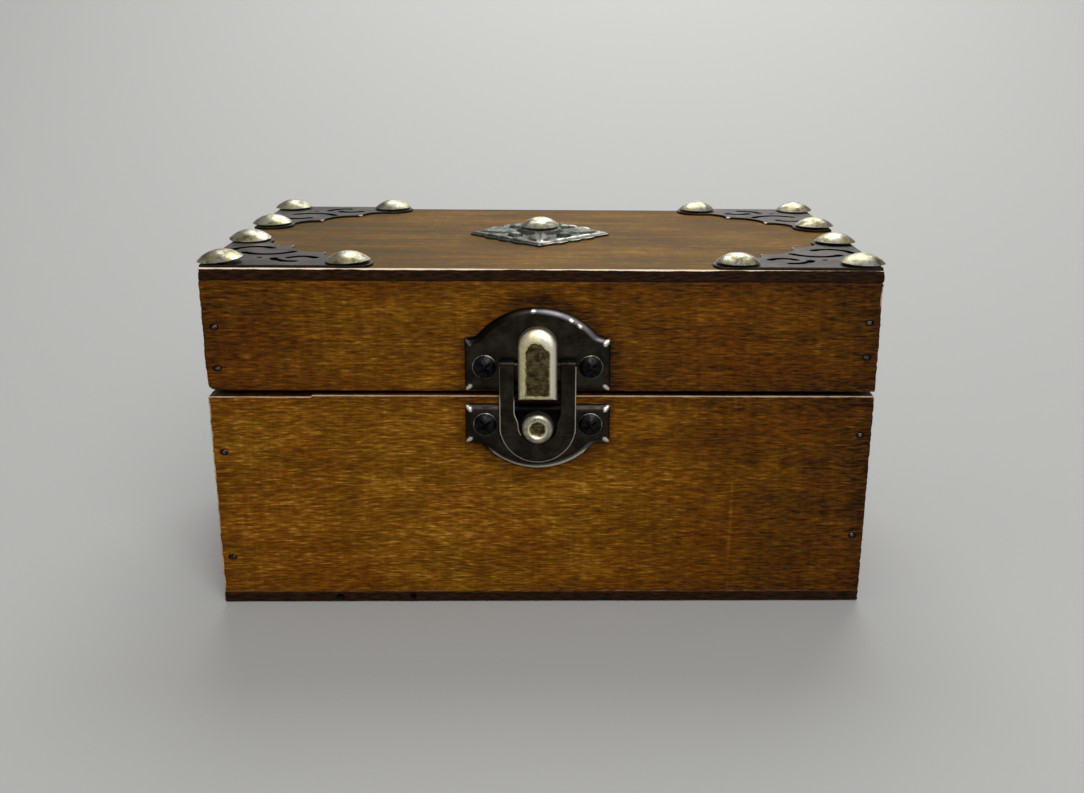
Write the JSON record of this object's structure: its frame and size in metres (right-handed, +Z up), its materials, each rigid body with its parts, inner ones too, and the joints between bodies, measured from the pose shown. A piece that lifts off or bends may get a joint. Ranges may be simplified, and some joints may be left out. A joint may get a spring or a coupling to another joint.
{
  "type": "hinged keepsake box",
  "caption": "Stained wooden keepsake box with a hinged lid, a toggle latch on the front, pierced corner plates, dome nails and a diamond ornament on top.",
  "frame": {"origin": "centre of the underside of the bottom board, on the surface that the box stands on", "axes": "+Z up, -Y towards the front with the latch, +X to the right seen from the front"},
  "size_m": [0.1518, 0.0964, 0.0845],
  "materials": {
    "stained_wood": "amber to walnut stain, satin varnish",
    "stained_ply": "stained thin plywood with dark edges, satin varnish",
    "antique_bronze": "dark antiqued stamped sheet",
    "dome_brass": "dull aged brass",
    "latch_brass": "worn bright brass with brushed face",
    "latch_black": "blackened bronze with buffed edges",
    "black_screw": "black zinc, satin",
    "hinge_bronze": "antique bronze plating",
    "pin_steel": "dull plated steel",
    "steel_brad": "dull steel, stained over"
  },
  "bodies": {
    "base": {"base_back_board": "stained_wood", "base_back_brads": "steel_brad", "base_front_board": "stained_wood", "base_front_brads": "steel_brad", "base_left_board": "stained_wood", "base_right_board": "stained_wood", "bottom_board": "stained_ply", "hinge_base_nails": "pin_steel", "keeper_plate": "latch_black", "keeper_post": "latch_brass", "keeper_screws": "black_screw", "left_hinge_base_leaf": "hinge_bronze", "left_hinge_pin": "pin_steel", "right_hinge_base_leaf": "hinge_bronze", "right_hinge_pin": "pin_steel"},
    "lid": {"corner_nails_back_left": "dome_brass", "corner_nails_back_right": "dome_brass", "corner_nails_front_left": "dome_brass", "corner_nails_front_right": "dome_brass", "corner_plate_back_left": "antique_bronze", "corner_plate_back_right": "antique_bronze", "corner_plate_front_left": "antique_bronze", "corner_plate_front_right": "antique_bronze", "diamond_ornament": "antique_bronze", "hinge_lid_nails": "pin_steel", "latch_plate": "latch_black", "latch_screws": "black_screw", "left_hinge_lid_leaf": "hinge_bronze", "lever_pin": "pin_steel", "lid_back_board": "stained_wood", "lid_back_brads": "steel_brad", "lid_front_board": "stained_wood", "lid_front_brads": "steel_brad", "lid_left_board": "stained_wood", "lid_right_board": "stained_wood", "lid_top_board": "stained_ply", "ornament_nail": "dome_brass", "right_hinge_lid_leaf": "hinge_bronze"},
    "lever": {"bail_pin": "pin_steel", "latch_lever": "latch_brass"},
    "bail": {"latch_bail": "latch_black"}
  },
  "joints": [
    {"name": "lid_hinge", "type": "hinge", "parent": "base", "child": "lid", "pos_m": [0, 0.0455, 0.0515], "axis": [-1, 0, 0], "range_deg": [0, 180]},
    {"name": "lever_turn", "type": "hinge", "parent": "lid", "child": "lever", "pos_m": [-0.0013, -0.047, 0.0523], "axis": [1, 0, 0], "range_deg": [0, 125]},
    {"name": "bail_swing", "type": "hinge", "parent": "lever", "child": "bail", "pos_m": [-0.0013, -0.0468, 0.059], "axis": [1, 0, 0], "range_deg": [-150, 0]}
  ],
  "couplings": [
    {"joint": "bail_swing", "follows": "lever_turn", "ratio": -1.2}
  ]
}
